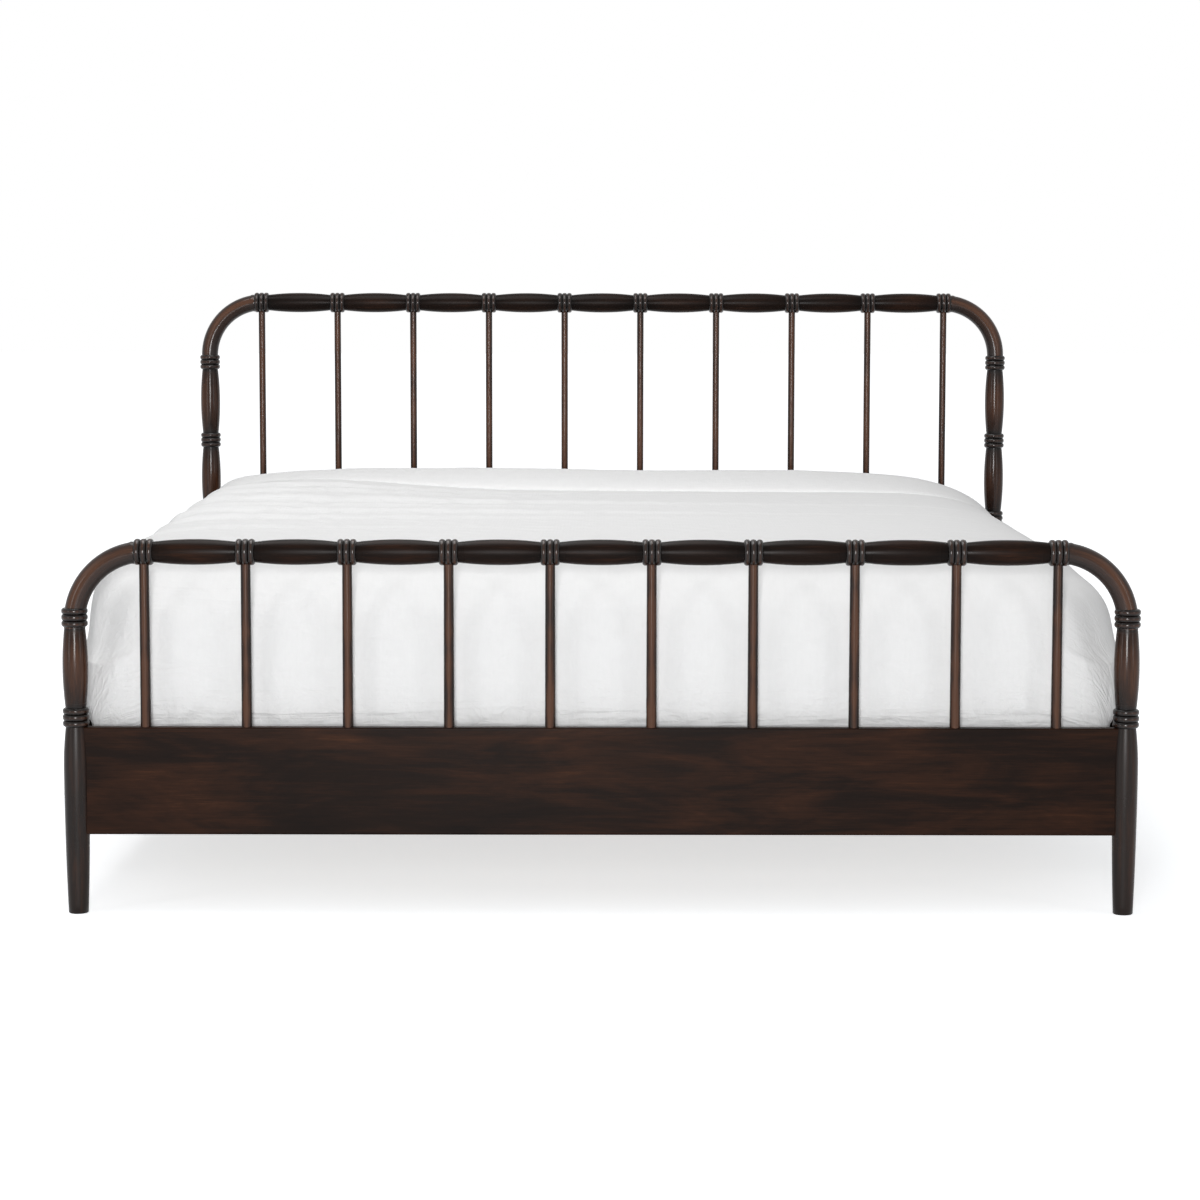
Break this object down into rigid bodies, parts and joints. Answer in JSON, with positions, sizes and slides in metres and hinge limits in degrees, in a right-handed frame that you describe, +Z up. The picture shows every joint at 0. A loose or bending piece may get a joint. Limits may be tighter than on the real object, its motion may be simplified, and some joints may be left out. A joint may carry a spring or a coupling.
{
  "type": "spindle bed",
  "caption": "King-size turned-wood spindle bed with bent elbows on headboard and footboard, a slatted base on a levelled centre leg, and a mattress and duvet that lift off.",
  "frame": {"origin": "on the floor, under the middle of the bed", "axes": "+X to the right as seen from the foot, +Y from foot to head, +Z up"},
  "size_m": [2.0862, 2.1811, 1.2062],
  "materials": {
    "stained_wood": "satin dark stain",
    "pale_wood": "planed, unfinished",
    "zinc_steel": "zinc plated",
    "mattress_ticking": "quilted ticking",
    "duvet_cotton": "plain white cotton"
  },
  "bodies": {
    "frame": {"beam_hanger_foot": "zinc_steel", "beam_hanger_head": "zinc_steel", "centre_beam": "pale_wood", "centre_leg": "pale_wood", "centre_leg_dowels": "pale_wood", "elbow_dowels": "pale_wood", "footboard_elbow_left": "stained_wood", "footboard_elbow_right": "stained_wood", "footboard_panel": "stained_wood", "footboard_post_left": "stained_wood", "footboard_post_right": "stained_wood", "footboard_spindle_01": "stained_wood", "footboard_spindle_02": "stained_wood", "footboard_spindle_03": "stained_wood", "footboard_spindle_04": "stained_wood", "footboard_spindle_05": "stained_wood", "footboard_spindle_06": "stained_wood", "footboard_spindle_07": "stained_wood", "footboard_spindle_08": "stained_wood", "footboard_spindle_09": "stained_wood", "footboard_spindle_10": "stained_wood", "footboard_top_rail": "stained_wood", "headboard_elbow_left": "stained_wood", "headboard_elbow_right": "stained_wood", "headboard_panel": "stained_wood", "headboard_post_left": "stained_wood", "headboard_post_right": "stained_wood", "headboard_spindle_01": "stained_wood", "headboard_spindle_02": "stained_wood", "headboard_spindle_03": "stained_wood", "headboard_spindle_04": "stained_wood", "headboard_spindle_05": "stained_wood", "headboard_spindle_06": "stained_wood", "headboard_spindle_07": "stained_wood", "headboard_spindle_08": "stained_wood", "headboard_spindle_09": "stained_wood", "headboard_spindle_10": "stained_wood", "headboard_top_rail": "stained_wood", "leveller_insert": "zinc_steel", "post_slot_plates": "zinc_steel", "rail_hook_plates": "zinc_steel", "side_rail_left": "stained_wood", "side_rail_right": "stained_wood", "slat_01": "pale_wood", "slat_02": "pale_wood", "slat_03": "pale_wood", "slat_04": "pale_wood", "slat_05": "pale_wood", "slat_06": "pale_wood", "slat_07": "pale_wood", "slat_08": "pale_wood", "slat_09": "pale_wood", "slat_10": "pale_wood", "slat_11": "pale_wood", "slat_12": "pale_wood", "slat_cleat_left": "pale_wood", "slat_cleat_right": "pale_wood"},
    "mattress": {"mattress": "mattress_ticking"},
    "duvet": {"duvet": "duvet_cotton"},
    "levelling_foot": {"levelling_foot": "zinc_steel"}
  },
  "joints": [
    {"name": "mattress_lift", "type": "slide", "parent": "frame", "child": "mattress", "axis": [0, 0, 1], "range_m": [0, 0.46]},
    {"name": "duvet_lift", "type": "slide", "parent": "mattress", "child": "duvet", "axis": [0, 0, 1], "range_m": [0, 0.32]},
    {"name": "leveller_travel", "type": "slide", "parent": "frame", "child": "levelling_foot", "axis": [0, 0, 1], "range_m": [-0.01, 0.01]}
  ]
}
